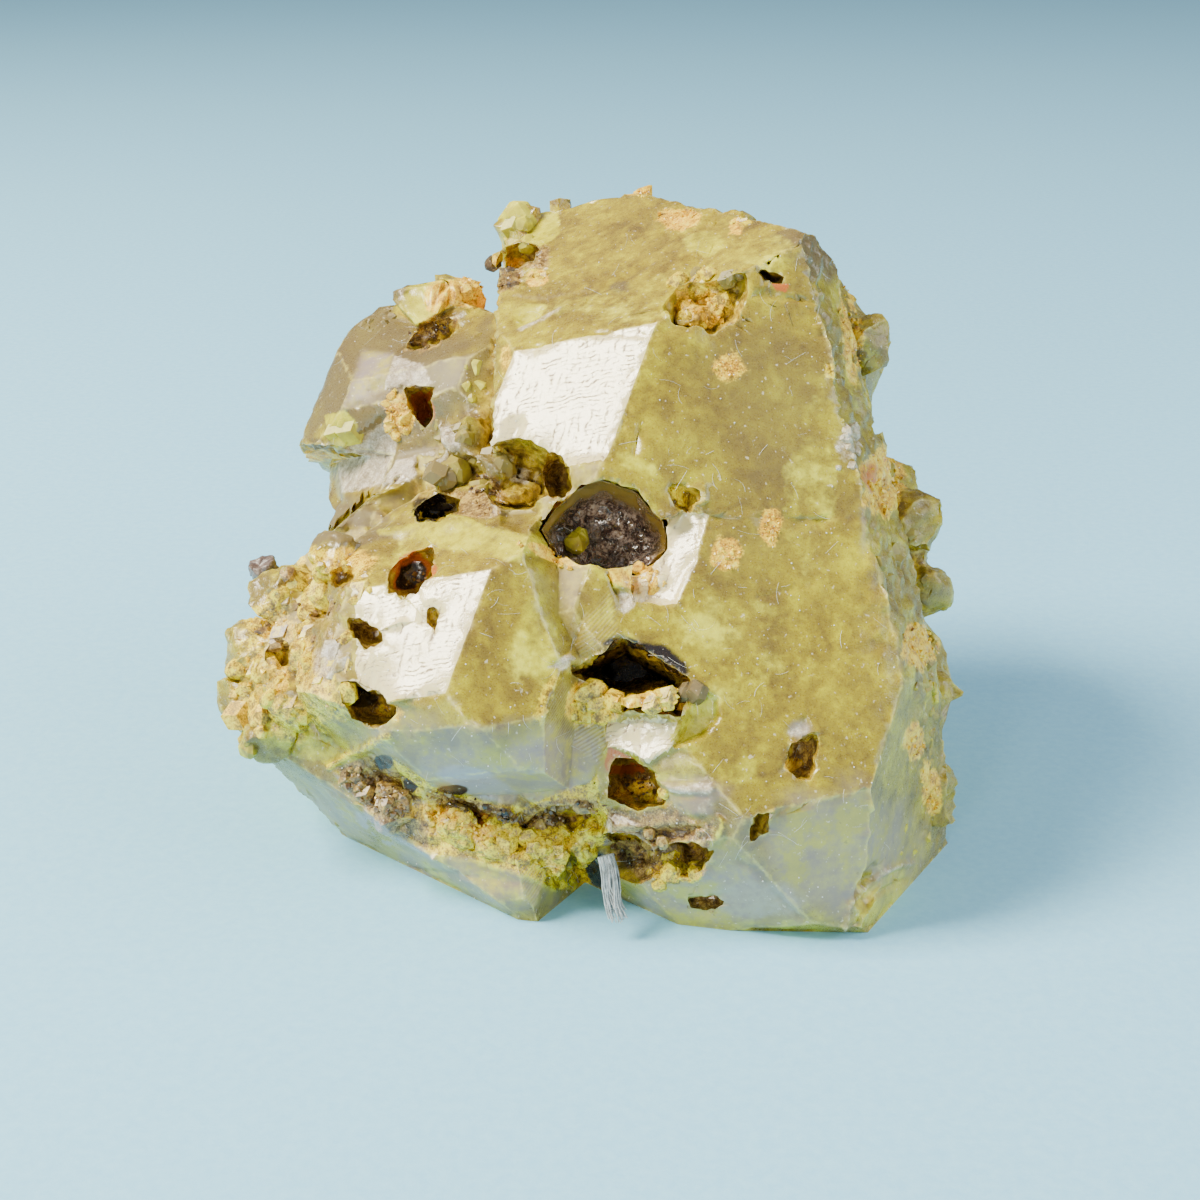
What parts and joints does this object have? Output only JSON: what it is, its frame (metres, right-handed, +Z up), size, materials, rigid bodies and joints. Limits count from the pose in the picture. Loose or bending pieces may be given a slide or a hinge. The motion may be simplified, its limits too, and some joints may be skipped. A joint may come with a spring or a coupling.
{
  "type": "garnet specimen",
  "caption": "Cluster of olive garnets in parallel growth, with dark crusted hollows, ochre crumbs and a grey fibre tuft, resting on a flat broken base.",
  "frame": {"origin": "middle of the specimen's bounding box, on the flat base that it rests on", "axes": "+X to the right as displayed, +Y away from the viewer, +Z up"},
  "size_m": [0.0556, 0.051, 0.0453],
  "materials": {
    "olive_garnet": "glossy",
    "dark_crust": "glossy",
    "ochre_crust": "satin",
    "dark_grain": "satin",
    "grey_fibre": "matte"
  },
  "bodies": {
    "root": {"garnet_cluster": "olive_garnet", "great_hollow_crust": "dark_crust", "black_hole_crust": "ochre_crust", "edge_grain": "dark_grain", "fibre_tuft": "grey_fibre"}
  },
  "joints": []
}
